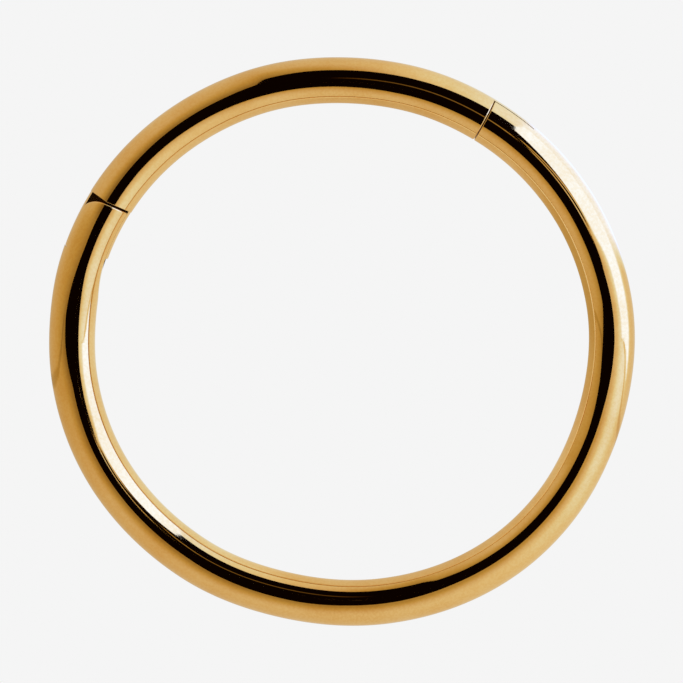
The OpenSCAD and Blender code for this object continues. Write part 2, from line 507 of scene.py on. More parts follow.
class Division:
    """How a skin is divided round the wire: a slab about the mid height splits it into an outer, a top,
    an inner and a bottom side."""

    def __init__(self, wire, half_slab, edge):
        self.wire = wire
        self.half = half_slab
        self.face_r = wire.radius - edge
        self.edge = edge
        self.side_shares = np.linspace(0.0, 1.0, SIDE_COLUMNS + 1)
        self.top_shares = None

    def share_at(self, across):
        """The top side's share at which an end face has that distance across."""
        low = math.asin(self.half / self.face_r)
        return (math.acos(across / self.face_r) - low) / (math.pi - 2 * low)

    def column_at(self, across):
        """Number of the top side's column that is nearest to that distance across on an end face."""
        return int(np.argmin(np.abs(self.top_shares - self.share_at(across))))

    def top(self, radius=None):
        """Angles round the wire from the slab's outer edge over the top to its inner edge."""
        low = np.arcsin(self.half / (self.wire.radius if radius is None else radius))
        return low + (math.pi - 2 * low) * self.top_shares

    def outer(self, radius=None):
        """Angles round the wire from the slab's lower edge to its upper edge, outside."""
        low = np.arcsin(self.half / (self.wire.radius if radius is None else radius))
        return low * (2 * self.side_shares - 1)

    def inner(self, radius=None):
        """Angles round the wire from the slab's upper edge to its lower edge, inside."""
        return math.pi + self.outer(radius)

    def edge_across(self, radius=None):
        """Distance across of the slab's outer edge on the skin."""
        radius = self.wire.radius if radius is None else radius
        return np.sqrt(radius ** 2 - self.half ** 2)


def columns(*fixed):
    """Shares from 0 to 1 in even steps between the fixed shares, which are all among them."""
    ends = [0.0, *sorted(fixed), 1.0]
    runs = [np.linspace(low, high, max(1, round((high - low) * TOP_COLUMNS)) + 1)[:-1]
            for low, high in zip(ends, ends[1:])]
    return np.concatenate([*runs, [1.0]])


class Shell:
    """A closed skin, gathered as grids of points with their exact normals. Its forms then bend the
    whole of it, each from points and normals to new ones."""

    def __init__(self, wire, forms):
        self.lift = np.array([0.0, 0.0, 2 * wire.radius])
        self.forms = forms
        self.grids = []
        self.sawn = []

    def add(self, points, normals, mirrored=False, sawn=False):
        """Adds a grid, and if mirrored once more on the other side of the wire's mid height. sawn is for
        what the polish doesn't reach, which takes the piece's second material."""
        points, normals = np.broadcast_arrays(points, normals)
        self.grids.append((points, normals))
        self.sawn.append(sawn)
        if mirrored:
            flip = np.array([1.0, 1.0, -1.0])
            self.grids.append((points * flip + self.lift, normals * flip))
            self.sawn.append(sawn)

    def faces(self):
        """Corner numbers of all the grids' faces. A grid is turned round where the cross product of
        its faces' diagonals points against its normals."""
        found = []
        first = 0
        for points, normals in self.grids:
            rows, columns = points.shape[:2]
            ids = first + np.arange(rows * columns).reshape(rows, columns)
            quads = np.stack([ids[:-1, :-1], ids[1:, :-1], ids[1:, 1:], ids[:-1, 1:]], -1)
            turned = np.cross(points[1:, 1:] - points[:-1, :-1], points[:-1, 1:] - points[1:, :-1])
            if np.sum(turned * normals[:-1, :-1]) < 0:
                quads = quads[..., ::-1]
            found.append(quads.reshape(-1, 4))
            first += rows * columns
        return np.concatenate(found)

    def mesh(self, name):
        """One mesh of all the grids. Points that agree to a hundredth of a micrometre become one, and
        faces that have lost a corner by it become triangles."""
        corners = self.faces()
        points = np.concatenate([grid.reshape(-1, 3) for grid, _ in self.grids])
        normals = np.concatenate([grid.reshape(-1, 3) for _, grid in self.grids])
        kept, merged = np.unique(np.round(points / MERGE).astype(np.int64), axis=0,
                                 return_index=True, return_inverse=True)[1:]
        for form in self.forms:
            points, normals = form(points, unit(normals))
        normals = unit(normals)
        ids = merged.reshape(-1)[corners]
        stays = ids != np.roll(ids, -1, axis=1)
        whole = stays.sum(axis=1) == 4
        cut = stays.sum(axis=1) == 3
        loops = np.concatenate([ids[whole].reshape(-1), ids[cut][stays[cut]]])
        loop_corners = np.concatenate([corners[whole].reshape(-1), corners[cut][stays[cut]]])
        totals = np.concatenate([np.full(whole.sum(), 4), np.full(cut.sum(), 3)])
        starts = np.concatenate([[0], np.cumsum(totals)[:-1]])
        self.check_closed(name, loops, starts, totals)
        face_counts = [(grid.shape[0] - 1) * (grid.shape[1] - 1) for grid, _ in self.grids]
        sawn = np.repeat(self.sawn, face_counts)
        second = np.concatenate([sawn[whole], sawn[cut]])
        mesh = bpy.data.meshes.new(name)
        mesh.vertices.add(len(kept))
        mesh.vertices.foreach_set("co", points[kept].reshape(-1))
        mesh.loops.add(len(loops))
        mesh.loops.foreach_set("vertex_index", loops.astype(np.int32))
        mesh.polygons.add(len(totals))
        mesh.polygons.foreach_set("loop_start", starts.astype(np.int32))
        mesh.update(calc_edges=True)
        if mesh.validate():
            raise ValueError(f"{name} has faces that Blender won't keep")
        mesh.polygons.foreach_set("material_index", second.astype(np.int32))
        mesh.shade_smooth()
        mesh.normals_split_custom_set(normals[loop_corners])
        return mesh

    def check_closed(self, name, loops, starts, totals):
        """Raises an error unless each edge has just two faces, one on each side."""
        following = np.arange(1, len(loops) + 1)
        following[starts + totals - 1] = starts
        edges = np.stack([loops, loops[following]], axis=1)
        there = {tuple(edge) for edge in edges.tolist()}
        alone = [edge for edge in there if edge[::-1] not in there]
        if alone or len(there) != len(edges):
            raise ValueError(f"{name} is open along {len(alone)} edges, with "
                             f"{len(edges) - len(there)} doubled")


def edge_profile(rounding):
    """Cross-section of a rounded edge as its angle goes from skin to face: the radius is lost by the
    rounding times one less its cosine, and the inset is the rounding times one less its sine."""
    bent = np.linspace(0.0, math.pi / 2, ROUND_ROWS + 1)[:, None]
    return bent, rounding * (1 - np.cos(bent)), rounding * (1 - np.sin(bent))


def rounded_edge(shell, division, angles, end, mirrored=False):
    """The rounded edge between a skin and an end face. Its normal turns from the skin's to the face's."""
    wire = division.wire
    bent, lost, inset = edge_profile(division.edge)
    radius = wire.radius - lost
    around = angles(radius)
    facing, face_normal = end(radius * np.cos(around), inset)
    points, skin_normal = wire.skin(facing, around, radius)
    normals = np.cos(bent)[..., None] * skin_normal + np.sin(bent)[..., None] * lifted(face_normal, 0.0)
    shell.add(points, normals, mirrored)


def upright_face(shell, division, end):
    """The end face over a slab and, mirrored, under it: upright lines from the edge to the slab."""
    around = division.top(division.face_r)
    across = division.face_r * np.cos(around)
    facing, normal = end(across, 0.0)
    height = blend(division.face_r * np.sin(around), np.full_like(around, division.half), FLAT_ROWS)
    points = division.wire.point(facing, across, height)
    shell.add(points, lifted(normal, 0.0), mirrored=True, sawn=True)


def level_flat(shell, division, loop, hole, side):
    """The flat side of a slab between its outline and a round hole, by straight lines from each of the
    outline's points to the hole's. side is 1 where it faces up on the upper side, as on a tongue."""
    height = division.wire.radius + division.half
    shell.add(lifted(blend(loop, hole, FLAT_ROWS), height), side * UP, mirrored=True, sawn=True)


def round_hole(loop, centre, radius):
    """Points of a circle, each in the direction in which a loop's point lies from the centre."""
    return centre + radius * unit(loop - centre)


def closed(*parts):
    """The parts of an outline as one loop that ends where it starts."""
    loop = np.concatenate(parts)
    return np.concatenate([loop, loop[:1]])


def ledge(shell, division, angles, end, radius):
    """The strip of an end face between its rounded edge and a thinner round that comes out of it."""
    radius = blend(np.array([division.face_r]), radius, 1)
    around = angles(radius)
    across = radius * np.cos(around)
    facing, normal = end(across, 0.0)
    shell.add(division.wire.point(facing, across, radius * np.sin(around)), lifted(normal, 0.0), sawn=True)


def edge_outline(division, end, sign):
    """Plan points of a rounded edge where it meets the slab, from the skin to the face. sign is 1 on
    the outer side and -1 on the inner."""
    _, lost, inset = edge_profile(division.edge)
    across = sign * division.edge_across(division.wire.radius - lost[:, 0])
    return division.wire.plan(end(across, inset[:, 0])[0], across)


def eased_rows(start, stop, first, last):
    """Facing directions in even rows from first to last. Near each end they ease into that end's own
    curve, by the square of the share that is left of the easing stretch."""
    even = np.linspace(first, last, math.ceil((last - first) / STATION_STEP) + 1)[:, None]
    near_first = np.clip(1 - (even - first) / EASE, 0.0, 1.0) ** 2
    near_last = np.clip(1 - (last - even) / EASE, 0.0, 1.0) ** 2
    return even, even + near_first * (start - first) + near_last * (stop - last)


def main_run(shell, division, start, stop, groove=None):
    """The skin between a piece's two ends, which are given as curves of facing over across."""
    wire = division.wire
    first = float(start(0.0))
    turn = 2 * math.pi if float(stop(0.0)) < first else 0.0
    last = float(stop(0.0)) + turn
    slab_edge = None
    for angles, mirrored in ((division.top, True), (division.outer, False), (division.inner, False)):
        around = angles()
        across = wire.radius * np.cos(around)
        even, facing = eased_rows(start(across), stop(across) + turn, first, last)
        if groove is not None and angles == division.inner:
            groove.cut(shell, wire, even - first, facing, around, slab_edge, start)
            continue
        points, normals = wire.skin(facing, around)
        shell.add(points, normals, mirrored)
        if mirrored:
            slab_edge = points[:, -1]


class SawGroove:
    """The shallow groove that the round saw left past the hinge slot, on the ring's inner side. Seen
    from above its floor is a stretch of the saw's circle."""

    def __init__(self, wire, sizes):
        middle, bend = wire.arc(sizes.hinge_at + sizes.saw_past)
        self.at = sizes.hinge_at + sizes.saw_past
        self.bend = float(bend)
        self.saw_r = sizes.saw_r
        self.far = self.bend + sizes.saw_depth - wire.radius - sizes.saw_r
        self.centre = middle + self.far * np.array([math.cos(self.at), math.sin(self.at)])

    def floor(self, facing):
        """Distance across of the floor, where a ray from the arc's middle meets the saw's circle."""
        turn = facing - self.at
        chord = self.saw_r ** 2 - (self.far * np.sin(turn)) ** 2
        return self.far * np.cos(turn) + np.sqrt(chord) - self.bend

    def start_across(self, across, start):
        """Distance across at which the inner skin, with the groove in it, meets a start curve. Each
        round puts the floor's distance at the last one's direction, and a few rounds settle it."""
        cut = across
        for _ in range(SETTLING_ROUNDS):
            cut = np.maximum(across, self.floor(start(cut)))
        return cut

    def cut(self, shell, wire, past, facing, around, slab_edge, start):
        """The inner skin with the groove in it: wherever the groove's floor lies further outward than
        the round skin, the floor is the surface. Level strips join it to the slab's edges."""
        across = wire.radius * np.cos(around)
        soon = np.clip(1 - past / GROOVE_EASE, 0.0, 1.0) ** 2
        facing = facing + soon * (start(self.start_across(across, start)) - start(across))
        floor = self.floor(facing)
        points = wire.point(facing, np.maximum(across, floor), wire.radius * np.sin(around))
        inward = lifted(unit(self.centre - points[..., :2]), 0.0)
        normals = np.where((floor > across)[..., None], inward, outward(facing, around))
        shell.add(points, normals)
        shell.add(np.stack([slab_edge, points[:, 0]], axis=1), -UP, mirrored=True, sawn=True)


def side_run(shell, division, angles, start, stop, mirrored=False, radius=None):
    """A skin that goes on past a piece's main run, in even rows from one curve to another."""
    radius = division.wire.radius if radius is None else radius
    around = angles(radius)
    across = radius * np.cos(around)
    points, normals = division.wire.skin(blend(start(across), stop(across), CROSS_ROWS), around, radius)
    shell.add(points, normals, mirrored)


def beside_edge(shell, division, end):
    """The outer skin and the slab's flats beside a rounded edge, where a tongue goes on past it. Their
    rows match the edge's own, as far as the face's line."""
    wire = division.wire
    around = division.outer()
    inset = edge_profile(division.edge)[2]
    points, normals = wire.skin(end(wire.radius * np.cos(around), inset)[0], around)
    shell.add(points, normals)
    flat = np.stack([edge_outline(division, end, 1), points[:, -1, :2]], axis=1)
    shell.add(lifted(flat, wire.radius + division.half), UP, mirrored=True, sawn=True)


def edge_run(division, start, stop, sign, radius):
    """Plan points of the slab's edge from one curve to another, on the outer side if sign is 1."""
    across = sign * division.edge_across(radius)
    return division.wire.plan(blend(start(across), stop(across), CROSS_ROWS), across)


def face_row(division, end):
    """Plan points where an end face meets the slab, from the outer side to the inner."""
    across = division.face_r * np.cos(division.top(division.face_r))
    return division.wire.plan(end(across, 0.0)[0], across)


def line_end(seam, y, side):
    """An end face on the line at the seam's y. side is 1 if the face looks toward growing y."""
    def end(across, inset):
        facing = seam.on_line(0.0, y, across, -side * inset)
        return facing, np.broadcast_to(side * seam.on, (*np.shape(facing), 2))
    return end


class Hinge:
    """The hinge's plan: the ends of the body's ears and of the segment's shoulders, and the circles
    about the pin that end the tongue and its slot."""

    def __init__(self, wire, sizes, fits):
        self.wire = wire
        self.seam = Seam(wire, sizes.hinge_at, sizes.hinge_lean)
        self.pin_out = sizes.pin_out
        self.half_gap = sizes.hinge_gap / 2
        self.ear_r = sizes.ear_r
        self.relief = sizes.relief
        self.relief_out = sizes.pin_out - fits.relief_in
        self.pin_r = sizes.pin_d / 2
        self.pin = self.seam.plan(sizes.pin_out, sizes.ear_r + self.half_gap)
        self.pin_top = sizes.tongue_t / 2 + sizes.side_gap + sizes.pin_grip
        joint = np.array(frame["joints"][0]["pos_m"][:2])
        if np.linalg.norm(self.pin - joint) > JOINT_SLACK:
            raise ValueError("the hinge pin doesn't lie on the model's own joint")

    def ears_end(self, across, inset):
        """Square to the seam inward of the pin, and round about the pin outward of it."""
        line = self.seam.on_line(0.0, self.half_gap, across, inset)
        circle = self.seam.on_circle(self.pin, self.ear_r - inset, across, -1)
        square = self.seam.along(self.wire.plan(line, across)) < self.pin_out
        facing = np.where(square, line, circle)
        round_normal = unit(self.wire.plan(facing, across) - self.pin)
        return facing, np.where(square[..., None], -self.seam.on, round_normal)

    def shoulder_end(self, across, inset):
        """Square to the seam inward of the relief, and fallen back by the relief's angle outward."""
        line = self.seam.on_line(0.0, -self.half_gap, across, -inset)
        fallen = self.seam.on_line(self.relief_out, -self.half_gap, across, -inset, self.relief)
        turn = self.seam.turn - self.relief
        slant = np.array([-math.sin(turn), math.cos(turn)])
        return np.minimum(line, fallen), np.where((line < fallen)[..., None], self.seam.on, slant)

    def circle(self, radius):
        """The far crossing of a circle about the pin, as a curve of facing over across."""
        return lambda across: self.seam.on_circle(self.pin, radius, across, 1)


def round_wall(shell, division, hinge, curve, radius, inner_across, side):
    """The upright wall along a circle about the pin, from the inner skin to the outer. side is 1 where
    it looks away from the pin, as the tongue's tail does."""
    around = division.outer(radius)[:, None]
    start = inner_across(-radius * np.cos(around))
    steps = np.linspace(0.0, 1.0, len(division.top_shares) - 1)
    across = start + (radius * np.cos(around) - start) * steps
    points = division.wire.point(curve(across), across, radius * np.sin(around))
    shell.add(points, lifted(side * unit(points[..., :2] - hinge.pin), 0.0), sawn=True)
    return points[-1, :, :2]


def leaf(shell, division, hinge, front, start, curve, radius, hole_r, inner_across, side):
    """The flats and the round wall of the ears or of the tongue, between the front row of plan points,
    from the inner side to the outer, and a circle about the pin. It returns the points of the holes'
    edge, and those of the slab's two edges."""
    wall = round_wall(shell, division, hinge, curve, radius, inner_across, side)
    outer_edge = edge_run(division, start, curve, 1, radius)
    inner_edge = edge_run(division, curve, start, -1, radius)
    loop = closed(front, outer_edge, wall[::-1], inner_edge[:1], inner_edge)
    hole = round_hole(loop, hinge.pin, hole_r)
    level_flat(shell, division, loop, hole, side)
    return hole, outer_edge, inner_edge


def drilled_skin(shell, hinge, loop, hole):
    """The wire's underside between an outline and a round hole. Its depth at each plan point is the
    root of the radius squared less the distance across squared."""
    wire, seam = hinge.wire, hinge.seam
    plan = blend(loop, hole, 2 * FLAT_ROWS)
    across = seam.across(plan)
    height = -np.sqrt(wire.radius ** 2 - across ** 2)
    shell.add(lifted(plan, wire.radius + height), outward(seam.facing(plan), np.arctan2(height, across)))
    return height[-1]


def hole_wall(shell, wire, centre, hole, low, high, side=-1):
    """The upright wall round a hole or a pin, between two heights. side is -1 in a hole."""
    heights = wire.radius + blend(low + np.zeros(len(hole)), high + np.zeros(len(hole)), HOLE_ROWS)
    shell.add(lifted(hole, heights), lifted(side * unit(hole - centre), 0.0), sawn=side == -1)


def hole_end(shell, wire, centre, hole, height, side):
    """The flat end of a blind hole or of a pin, from its edge to its middle."""
    points = lifted(blend(hole, centre + np.zeros_like(hole), HOLE_END_ROWS), wire.radius + height)
    shell.add(points, side * UP, sawn=side == -1)


def click_cap(shell, division, centre, hole, sphere_r, side):
    """The part of a sphere about the mid height that stands out of a tongue's flats, or into a slot's.
    Its rows run from the flat to the sphere's top, and side is 1 for a bump."""
    start = math.acos(division.half / sphere_r)
    tilt = np.linspace(start, 0.0, FLAT_ROWS + 1)[:, None, None]
    normal = np.concatenate([np.sin(tilt) * unit(hole - centre), np.cos(tilt) + 0 * hole[..., :1]], -1)
    middle = lifted(centre, division.wire.radius)
    shell.add(middle + sphere_r * normal, side * normal, mirrored=True, sawn=True)


class Latch:
    """The latch's plan: a tongue, or its slot when grown, with a rounded inner corner at its tip. It is
    drawn upright, and leaned turns its faces out of upright."""

    def __init__(self, wire, sizes, fits, grow, sphere_grow):
        self.wire = wire
        self.seam = Seam(wire, sizes.latch_at, sizes.latch_lean)
        self.floor_x = -sizes.floor_depth - grow
        self.tip_y = -sizes.latch_l - grow
        self.corner_r = fits.corner_r + grow
        self.length = sizes.latch_l
        self.half_gap = sizes.latch_gap / 2 / math.cos(sizes.latch_tilt)
        self.tilt = math.tan(sizes.latch_tilt)
        self.bump_at = self.seam.plan((wire.radius - sizes.floor_depth) / 2, -sizes.latch_l / 2)
        self.sphere_r = sizes.tongue_t / 2 + sizes.click_h + sphere_grow

    def leaned(self, points, normals):
        """The points near the seam turned about the arc's middle, each by its height above the wire's
        middle times the tilt's tangent over its distance from there. The turn fades along the wire by
        a smooth step, from the seam to the tongue's length away. The normals follow it."""
        plan = points[:, :2]
        offset = plan - self.seam.origin
        near = np.clip(1 - np.abs(offset @ self.seam.on) / self.length, 0.0, 1.0)
        near = np.where(np.abs(offset @ self.seam.out) < 2 * self.wire.radius, near, 0.0)
        tilt = self.tilt * near ** 2 * (3 - 2 * near)
        arm = plan - self.seam.middle
        reach = np.linalg.norm(arm, axis=-1)
        turn = np.exp(-1j * (points[:, 2] - self.wire.radius) * tilt / reach)
        place = (arm[:, 0] + 1j * arm[:, 1]) * turn
        looks = (normals[:, 0] + 1j * normals[:, 1]) * turn
        forward = (looks * np.conj(1j * place / reach)).real
        return (np.stack([place.real + self.seam.middle[0], place.imag + self.seam.middle[1],
                          points[:, 2]], -1),
                np.stack([looks.real, looks.imag, normals[:, 2] + forward * tilt], -1))

    def tip(self, across):
        """The tip's line as a curve of facing over across."""
        return self.seam.on_line(0.0, self.tip_y, across)

    def floor_across(self, face_y):
        """Distance across at which the floor meets the face."""
        return float(self.seam.across(self.seam.plan(self.floor_x, face_y)))

    def wall(self, shell, division, face_y, side):
        """The upright wall from the outer skin along the tip, round the corner and along the floor to
        the face. side is 1 on the tongue, which looks out of it. The rows' heights ease from those on
        the round skin to those on the face."""
        wire, seam = self.wire, self.seam
        around = division.outer()[:, None]
        start = seam.along(wire.plan(self.tip(wire.radius * np.cos(around)), wire.radius * np.cos(around)))
        share = np.linspace(0.0, 1.0, CROSS_ROWS + 1)
        arc = -math.pi / 2 * (1 + np.linspace(0.0, 1.0, ROUND_ROWS + 1))
        bend_x, bend_y = self.floor_x + self.corner_r, self.tip_y + self.corner_r
        same = np.ones_like(start)
        x = np.concatenate([start + (bend_x - start) * share,
                            same * (bend_x + self.corner_r * np.cos(arc)),
                            same * np.full_like(share, self.floor_x)], axis=1)
        y = np.concatenate([np.full_like(share, self.tip_y), bend_y + self.corner_r * np.sin(arc),
                            bend_y + (face_y - bend_y) * share]) * same
        turn = np.concatenate([np.full_like(share, -math.pi / 2), arc, np.full_like(share, -math.pi)])
        normal = np.multiply.outer(np.cos(turn), seam.out) + np.multiply.outer(np.sin(turn), seam.on)
        face_height = division.face_r * np.sin(division.outer(division.face_r))[:, None]
        height = wire.radius * np.sin(around)
        height = height + (face_height - height) * np.linspace(0.0, 1.0, x.shape[1])
        points = lifted(seam.plan(x, y), wire.radius + height)
        shell.add(points, lifted(side * normal, 0.0), sawn=True)
        return points[-1, :, :2]

    def fill(self, shell, division, end, face_y, side):
        """All that surrounds the tongue or the slot: wall, flats, bumps and the face inward of it."""
        wire = self.wire
        split = division.column_at(self.floor_across(face_y))
        wall = self.wall(shell, division, face_y, side)
        if side == 1:
            beside_edge(shell, division, end)
            start, corner = 0.0, np.zeros((0, 2))
        else:
            start, corner = division.edge, edge_outline(division, end, 1)[::-1]
        outer_edge = edge_run(division, lambda across: end(across, start)[0], self.tip, 1, wire.radius)
        loop = closed(face_row(division, end)[split::-1], corner, outer_edge, wall)
        hole_r = math.sqrt(self.sphere_r ** 2 - division.half ** 2)
        hole = round_hole(loop, self.bump_at, hole_r)
        level_flat(shell, division, loop, hole, side)
        click_cap(shell, division, self.bump_at, hole, self.sphere_r, side)
        upright_face(shell, division, end)
        rounded_edge(shell, division, division.top, end, mirrored=True)
        rounded_edge(shell, division, division.inner, end)
        row = division.face_r * np.cos(division.top(division.face_r))[split:]
        inward = (row - row[-1]) / (row[0] - row[-1])
        around = division.outer(division.face_r)[:, None]
        start = -division.face_r * np.cos(around)
        across = start + (row[0] - start) * inward
        facing, normal = end(across, 0.0)
        points = wire.point(facing, across, division.face_r * np.sin(around))
        shell.add(points, lifted(normal, 0.0), sawn=True)


def ring_body_mesh(sizes, fits):
    """The ring's body: the main run of round wire, the two ears of the hinge with the slot between
    them, and the two lips of the latch with the slot that the latch tongue clicks into."""
    wire = Wire(sizes)
    hinge = Hinge(wire, sizes, fits)
    latch = Latch(wire, sizes, fits, fits.floor_gap, sizes.side_gap)
    shell = Shell(wire, (latch.leaned, strayed))
    half_slot = sizes.tongue_t / 2 + sizes.side_gap
    face_y = -latch.half_gap
    ears = Division(wire, half_slot, fits.ear_edge)
    lips = Division(wire, half_slot, fits.lip_edge)
    lips.top_shares = columns(lips.share_at(latch.floor_across(face_y)))
    ears.top_shares = lips.top_shares
    groove = SawGroove(wire, sizes)
    slot_back = hinge.circle(sizes.tail_r + fits.turn_gap)
    main_run(shell, lips, slot_back, latch.tip, groove)

    # The ears, with the slot between them and the pin's hole
    ear_end = lambda across: hinge.ears_end(across, ears.edge)[0]
    side_run(shell, ears, ears.top, ear_end, slot_back)
    rounded_edge(shell, ears, ears.top, hinge.ears_end, mirrored=True)
    upright_face(shell, ears, hinge.ears_end)
    front = np.concatenate([edge_outline(ears, hinge.ears_end, -1), face_row(ears, hinge.ears_end)[::-1],
                            edge_outline(ears, hinge.ears_end, 1)[::-1]])
    hole, outer_edge, inner_edge = leaf(
        shell, ears, hinge, front, ear_end, slot_back, wire.radius, hinge.pin_r + fits.ear_gap,
        lambda across: groove.start_across(across, slot_back), -1)
    across = wire.radius * np.cos(ears.top())
    end_row = wire.plan(ear_end(across), across)[::-1]
    corner = np.ones((ROUND_ROWS + 1, 1))
    skin_loop = closed(corner * end_row[0], end_row, corner * end_row[-1], outer_edge,
                       wire.plan(slot_back(across), across), inner_edge)
    underside = drilled_skin(shell, hinge, skin_loop, hole)
    hole_wall(shell, wire, hinge.pin, hole, underside, -half_slot)
    hole_wall(shell, wire, hinge.pin, hole, half_slot, hinge.pin_top + fits.end_gap)
    hole_end(shell, wire, hinge.pin, hole, hinge.pin_top + fits.end_gap, -1)

    # The lips, with the slot that the latch tongue clicks into
    lip_end = line_end(latch.seam, face_y, 1)
    lip_skin_end = lambda across: lip_end(across, lips.edge)[0]
    side_run(shell, lips, lips.top, latch.tip, lip_skin_end, mirrored=True)
    side_run(shell, lips, lips.inner, latch.tip, lip_skin_end)
    latch.fill(shell, lips, lip_end, face_y, -1)
    return shell.mesh("ring_body_polished")


def hinged_segment_mesh(sizes, fits):
    """The hinged segment: its run of round wire, the tongue that turns between the ears, which is a
    little thinner than the wire, and the tongue with a bump on each side that clicks into the body."""
    wire = Wire(sizes)
    hinge = Hinge(wire, sizes, fits)
    latch = Latch(wire, sizes, fits, 0.0, 0.0)
    shell = Shell(wire, (latch.leaned, strayed))
    half_tongue = sizes.tongue_t / 2
    trimmed_r = wire.radius - sizes.tongue_trim
    face_y = latch.half_gap
    shoulders = Division(wire, half_tongue, fits.shoulder_edge)
    gate = Division(wire, half_tongue, fits.gate_edge)
    at = shoulders.share_at(shoulders.edge_across(trimmed_r))
    gate.top_shares = columns(at, gate.share_at(latch.floor_across(face_y)), 1 - at)
    shoulders.top_shares = gate.top_shares
    gate_end = line_end(latch.seam, face_y, -1)
    gate_skin_end = lambda across: gate_end(across, gate.edge)[0]
    gate_face = lambda across: gate_end(across, 0.0)[0]
    shoulder_skin_end = lambda across: hinge.shoulder_end(across, shoulders.edge)[0]
    shoulder_face = lambda across: hinge.shoulder_end(across, 0.0)[0]
    main_run(shell, gate, gate_skin_end, shoulder_skin_end)

    # The end at the latch, with its tongue
    side_run(shell, gate, gate.outer, gate_face, latch.tip)
    latch.fill(shell, gate, gate_end, face_y, 1)

    # The shoulders, and the tongue that turns between the ears
    tail = hinge.circle(sizes.tail_r)
    upright_face(shell, shoulders, hinge.shoulder_end)
    rounded_edge(shell, shoulders, shoulders.top, hinge.shoulder_end, mirrored=True)
    for side in (shoulders.outer, shoulders.inner):
        rounded_edge(shell, shoulders, side, hinge.shoulder_end)
        ledge(shell, shoulders, side, hinge.shoulder_end, trimmed_r)
        side_run(shell, shoulders, side, shoulder_face, tail, radius=trimmed_r)
    front = face_row(shoulders, hinge.shoulder_end)[-2:0:-1]
    hole = leaf(shell, shoulders, hinge, front, shoulder_face, tail, trimmed_r,
                hinge.pin_r + sizes.bore_gap, lambda across: across, 1)[0]
    hole_wall(shell, wire, hinge.pin, hole, -half_tongue, half_tongue)
    return shell.mesh("hinged_segment_polished")


def hinge_pin_mesh(sizes, fits):
    """The pin: a round bar whose lower end follows the round of the wire and whose top is flat."""
    wire = Wire(sizes)
    hinge = Hinge(wire, sizes, fits)
    shell = Shell(wire, ())
    turn = np.linspace(0.0, 2 * math.pi, PIN_SIDES + 1)[:, None]
    rim = hinge.pin + hinge.pin_r * np.concatenate([np.cos(turn), np.sin(turn)], axis=1)
    underside = drilled_skin(shell, hinge, hinge.pin + np.zeros_like(rim), rim)
    hole_wall(shell, wire, hinge.pin, rim, underside, hinge.pin_top, side=1)
    hole_end(shell, wire, hinge.pin, rim, hinge.pin_top, 1)
    return shell.mesh("hinge_pin_polished")


class Maths:
    """A shader tree's socket that takes part in Python sums. Each operator adds the Math node that
    works it out, and node adds any other node."""

    def __init__(self, tree, socket=None):
        self.tree = tree
        self.socket = socket

    def node(self, kind, settings, sockets, output=0):
        """A node of that type, with its settings first and then its sockets' values or links."""
        made = self.tree.nodes.new(kind)
        for name, value in settings.items():
            if name == "stops":
                ramp = made.color_ramp.elements
                while len(ramp) < len(value):
                    ramp.new(1.0)
                for stop, (place, tint) in zip(ramp, value):
                    stop.position = place
                    stop.color = (*tint, 1.0)
            else:
                setattr(made, name, value)
        for name, value in sockets.items():
            if isinstance(value, Maths):
                self.tree.links.new(value.socket, made.inputs[name])
            else:
                made.inputs[name].default_value = value
        return Maths(self.tree, made.outputs[output] if made.outputs else None)

    def math(self, operation, *values, clamp=False):
        """A Math node of that operation."""
        settings = {"operation": operation, "use_clamp": clamp}
        return self.node("ShaderNodeMath", settings, dict(enumerate(values)))

    def __add__(self, other):
        return self.math("ADD", self, other)

    __radd__ = __add__

    def __sub__(self, other):
        return self.math("SUBTRACT", self, other)

    def __rsub__(self, other):
        return self.math("SUBTRACT", other, self)

    def __mul__(self, other):
        return self.math("MULTIPLY", self, other)

    __rmul__ = __mul__

    def __truediv__(self, other):
        return self.math("DIVIDE", self, other)

    def step(self, low, high):
        """A soft step from 0 at low to 1 at high."""
        return self.node("ShaderNodeMapRange", {"interpolation_type": "SMOOTHSTEP"},
                         {"Value": self, "From Min": low, "From Max": high})

    def past(self, edge):
        """A soft step, two wide, about an edge."""
        return self.step(edge - 1, edge + 1)

    def within(self, rise, fall):
        """1 between two soft steps: up over the pair rise and down again over the pair fall."""
        return self.step(*rise) * (1 - self.step(*fall))

    def mixed(self, start, stop):
        """A colour that goes from start to stop as this goes from 0 to 1. Sockets 6 and 7 are a Mix
        node's two colours, and its output 2 is their mix."""
        ends = {0: self, 6: opaque(start), 7: opaque(stop)}
        return self.node("ShaderNodeMix", {"data_type": "RGBA"}, ends, output=2)

    def between(self, start, stop):
        """A number that goes from start to stop as this goes from 0 to 1."""
        return start + (stop - start) * self

    def ramp(self, stops):
        """The colour of this share along a ramp."""
        return self.node("ShaderNodeValToRGB", {"stops": stops}, {"Fac": self})

    def table(self, rows):
        """The value at this place in a table of places and values, on straight lines between its rows,
        of which there are 32 at most. The ramp that holds them has shares of the last place and of the
        greatest value."""
        last = rows[-1][0]
        top = max(value for place, value in rows)
        return (self / last).ramp([(place / last, (value / top,) * 3) for place, value in rows]) * top


def opaque(tint):
    """A colour as a socket takes it, or a link as it is."""
    return tint if isinstance(tint, Maths) else (*tint, 1.0)


def new_material(name):
    """An empty node material, with the start of its maths."""
    material = bpy.data.materials.new(name)
    material.use_nodes = True
    material.node_tree.nodes.clear()
    return material, Maths(material.node_tree)


def surfaced(material, surface):
    """The material, with that shader as its surface."""
    surface.node("ShaderNodeOutputMaterial", {}, {"Surface": surface})
    return material


def own_place(maths):
    """A place on an object, in the object's own coordinates."""
    return maths.node("ShaderNodeTexCoord", {}, {}, output="Object")


def noise(place, scale, detail):
    """Soft noise from 0 to 1 at a place, with about scale features in a metre."""
    return place.node("ShaderNodeTexNoise", {}, {"Vector": place, "Scale": scale, "Detail": detail})


def bumped(height, rise):
    """The normal of a surface whose marks stand as high as the rise where their height is 1."""
    return height.node("ShaderNodeBump", {}, {
        "Strength": BUMP_STRENGTH, "Distance": rise, "Height": height})


